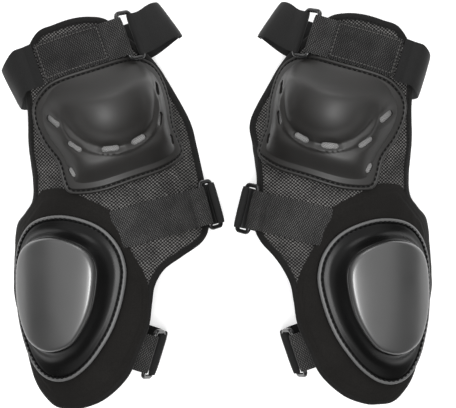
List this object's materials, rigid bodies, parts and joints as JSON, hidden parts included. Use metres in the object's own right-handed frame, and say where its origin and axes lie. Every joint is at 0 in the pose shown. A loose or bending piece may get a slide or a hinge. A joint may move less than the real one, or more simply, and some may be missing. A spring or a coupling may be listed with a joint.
{
  "type": "motorcycle knee guards",
  "caption": "Pair of strap-on knee guards: curved mesh pad, vented domed knee cap, peel-off hard slider on the outer shin, and elastic straps through rectangular rings.",
  "frame": {"origin": "under the middle of the pair, on the surface they lie on", "axes": "+X from the right leg's guard to the left leg's, +Y up the leg towards the thigh, +Z away from the surface, out of the knee caps"},
  "size_m": [0.4618, 0.4296, 0.1136],
  "materials": {
    "air_mesh": "grey and black air mesh",
    "foam": "closed-cell foam",
    "lining": "brushed lining",
    "binding": "woven edge tape",
    "cap_shell": "satin moulded",
    "pale_mesh": "light grey mesh",
    "loop_fabric": "smooth loop fabric",
    "hook_fabric": "moulded hook",
    "slider_rubber": "smooth",
    "slider_plate": "satin gloss",
    "ring_plastic": "moulded",
    "webbing": "coarse woven",
    "elastic": "fine knitted"
  },
  "bodies": {
    "right_guard": {"right_pad_mesh": "air_mesh", "right_pad_foam": "foam", "right_pad_lining": "lining", "right_pad_binding": "binding", "right_knee_cap": "cap_shell", "right_cap_cushion": "pale_mesh", "right_slider_panel": "loop_fabric", "right_thigh_webbing": "webbing", "right_thigh_patch": "webbing", "right_thigh_strap": "elastic", "right_mid_webbing": "webbing", "right_mid_strap": "elastic", "right_lower_webbing": "webbing", "right_lower_strap": "elastic"},
    "right_slider": {"right_slider_backing": "hook_fabric", "right_slider_core": "foam", "right_slider_body": "slider_rubber", "right_slider_wear_plate": "slider_plate"},
    "right_thigh_ring": {"right_thigh_ring": "ring_plastic"},
    "right_thigh_tab": {"right_thigh_tab": "elastic", "right_thigh_hook": "hook_fabric"},
    "right_mid_ring": {"right_mid_ring": "ring_plastic"},
    "right_mid_tab": {"right_mid_tab": "elastic", "right_mid_hook": "hook_fabric"},
    "right_lower_ring": {"right_lower_ring": "ring_plastic"},
    "right_lower_tab": {"right_lower_tab": "elastic", "right_lower_hook": "hook_fabric"},
    "left_guard": {"left_pad_mesh": "air_mesh", "left_pad_foam": "foam", "left_pad_lining": "lining", "left_pad_binding": "binding", "left_knee_cap": "cap_shell", "left_cap_cushion": "pale_mesh", "left_slider_panel": "loop_fabric", "left_thigh_webbing": "webbing", "left_thigh_patch": "webbing", "left_thigh_strap": "elastic", "left_mid_webbing": "webbing", "left_mid_strap": "elastic", "left_lower_webbing": "webbing", "left_lower_strap": "elastic"},
    "left_slider": {"left_slider_backing": "hook_fabric", "left_slider_core": "foam", "left_slider_body": "slider_rubber", "left_slider_wear_plate": "slider_plate"},
    "left_thigh_ring": {"left_thigh_ring": "ring_plastic"},
    "left_thigh_tab": {"left_thigh_tab": "elastic", "left_thigh_hook": "hook_fabric"},
    "left_mid_ring": {"left_mid_ring": "ring_plastic"},
    "left_mid_tab": {"left_mid_tab": "elastic", "left_mid_hook": "hook_fabric"},
    "left_lower_ring": {"left_lower_ring": "ring_plastic"},
    "left_lower_tab": {"left_lower_tab": "elastic", "left_lower_hook": "hook_fabric"}
  },
  "joints": [
    {"name": "right_slider_detach", "type": "slide", "parent": "right_guard", "child": "right_slider", "axis": [-0.4384, 0, 0.8988], "range_m": [0, 0.05]},
    {"name": "right_thigh_ring_swing", "type": "hinge", "parent": "right_guard", "child": "right_thigh_ring", "pos_m": [-0.10081, 0.17207, 0.067], "axis": [0.3338, -0.9426, 0], "range_deg": [0, 25]},
    {"name": "right_thigh_tab_peel", "type": "hinge", "parent": "right_thigh_ring", "child": "right_thigh_tab", "pos_m": [-0.08799, 0.17661, 0.0534], "axis": [0.3338, -0.9426, 0], "range_deg": [0, 100]},
    {"name": "right_mid_ring_swing", "type": "hinge", "parent": "right_guard", "child": "right_mid_ring", "pos_m": [-0.01655, -0.00328, 0.046], "axis": [0.2672, -0.9636, 0], "range_deg": [0, 10]},
    {"name": "right_mid_tab_peel", "type": "hinge", "parent": "right_mid_ring", "child": "right_mid_tab", "pos_m": [-0.00537, -0.00018, 0.0307], "axis": [0.2672, -0.9636, 0], "range_deg": [0, 20]},
    {"name": "right_lower_ring_swing", "type": "hinge", "parent": "right_guard", "child": "right_lower_ring", "pos_m": [-0.07377, -0.1573, 0.064], "axis": [-0.2924, -0.9563, 0], "range_deg": [0, 25]},
    {"name": "right_lower_tab_peel", "type": "hinge", "parent": "right_lower_ring", "child": "right_lower_tab", "pos_m": [-0.0666, -0.1595, 0.0463], "axis": [-0.2924, -0.9563, 0], "range_deg": [0, 100]},
    {"name": "left_guard_shift", "type": "slide", "parent": "right_guard", "child": "left_guard", "axis": [1, 0, 0], "range_m": [0, 0.15]},
    {"name": "left_slider_detach", "type": "slide", "parent": "left_guard", "child": "left_slider", "axis": [0.4381, 0.0153, 0.8988], "range_m": [0, 0.05]},
    {"name": "left_thigh_ring_swing", "type": "hinge", "parent": "left_guard", "child": "left_thigh_ring", "pos_m": [0.09658, 0.17457, 0.067], "axis": [0.3007, 0.9537, 0], "range_deg": [0, 25]},
    {"name": "left_thigh_tab_peel", "type": "hinge", "parent": "left_thigh_ring", "child": "left_thigh_tab", "pos_m": [0.08361, 0.17866, 0.0534], "axis": [0.3007, 0.9537, 0], "range_deg": [0, 100]},
    {"name": "left_mid_ring_swing", "type": "hinge", "parent": "left_guard", "child": "left_mid_ring", "pos_m": [0.03405, -0.00736, 0.063], "axis": [0.2334, 0.9724, 0], "range_deg": [0, 10]},
    {"name": "left_mid_tab_peel", "type": "hinge", "parent": "left_mid_ring", "child": "left_mid_tab", "pos_m": [0.02277, -0.00465, 0.0477], "axis": [0.2334, 0.9724, 0], "range_deg": [0, 20]},
    {"name": "left_lower_ring_swing", "type": "hinge", "parent": "left_guard", "child": "left_lower_ring", "pos_m": [0.08105, -0.15555, 0.064], "axis": [-0.3256, 0.9455, 0], "range_deg": [0, 25]},
    {"name": "left_lower_tab_peel", "type": "hinge", "parent": "left_lower_ring", "child": "left_lower_tab", "pos_m": [0.07396, -0.15799, 0.0463], "axis": [-0.3256, 0.9455, 0], "range_deg": [0, 100]}
  ]
}
